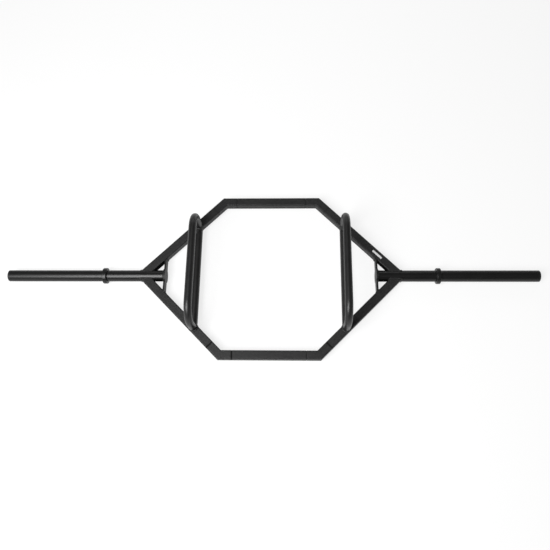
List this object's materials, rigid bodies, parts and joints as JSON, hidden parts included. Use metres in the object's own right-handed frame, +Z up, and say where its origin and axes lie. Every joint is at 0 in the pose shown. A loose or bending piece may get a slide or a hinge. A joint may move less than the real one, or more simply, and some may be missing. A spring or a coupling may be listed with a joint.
{
  "type": "hex trap bar",
  "caption": "Hexagonal trap bar for deadlifts: a square-tube frame to stand in, low and raised grips at the sides, and a fixed collared sleeve for weight plates at each end.",
  "frame": {"origin": "on the ground under the middle of the bar, which lies level on its two collars", "axes": "+X along the sleeves towards the right end, +Y towards the rear rail, +Z up"},
  "size_m": [2.342, 0.747, 0.2195],
  "materials": {
    "frame_paint": "black powder coat with a fine matte texture",
    "grip_paint": "smooth satin black coat",
    "sleeve_paint": "smooth satin black coat",
    "cap_moulding": "satin black moulding"
  },
  "bodies": {
    "root": {"front_rail": "frame_paint", "rear_rail": "frame_paint", "right_rear_arm": "frame_paint", "right_rear_elbow": "frame_paint", "right_front_arm": "frame_paint", "right_front_elbow": "frame_paint", "left_rear_arm": "frame_paint", "left_rear_elbow": "frame_paint", "left_front_arm": "frame_paint", "left_front_elbow": "frame_paint", "right_sleeve_tube": "sleeve_paint", "right_sleeve_collar": "sleeve_paint", "right_sleeve_end_cap": "cap_moulding", "right_cross_plate": "frame_paint", "right_low_grip": "grip_paint", "right_raised_grip": "grip_paint", "left_sleeve_tube": "sleeve_paint", "left_sleeve_collar": "sleeve_paint", "left_sleeve_end_cap": "cap_moulding", "left_cross_plate": "frame_paint", "left_low_grip": "grip_paint", "left_raised_grip": "grip_paint"}
  },
  "joints": []
}
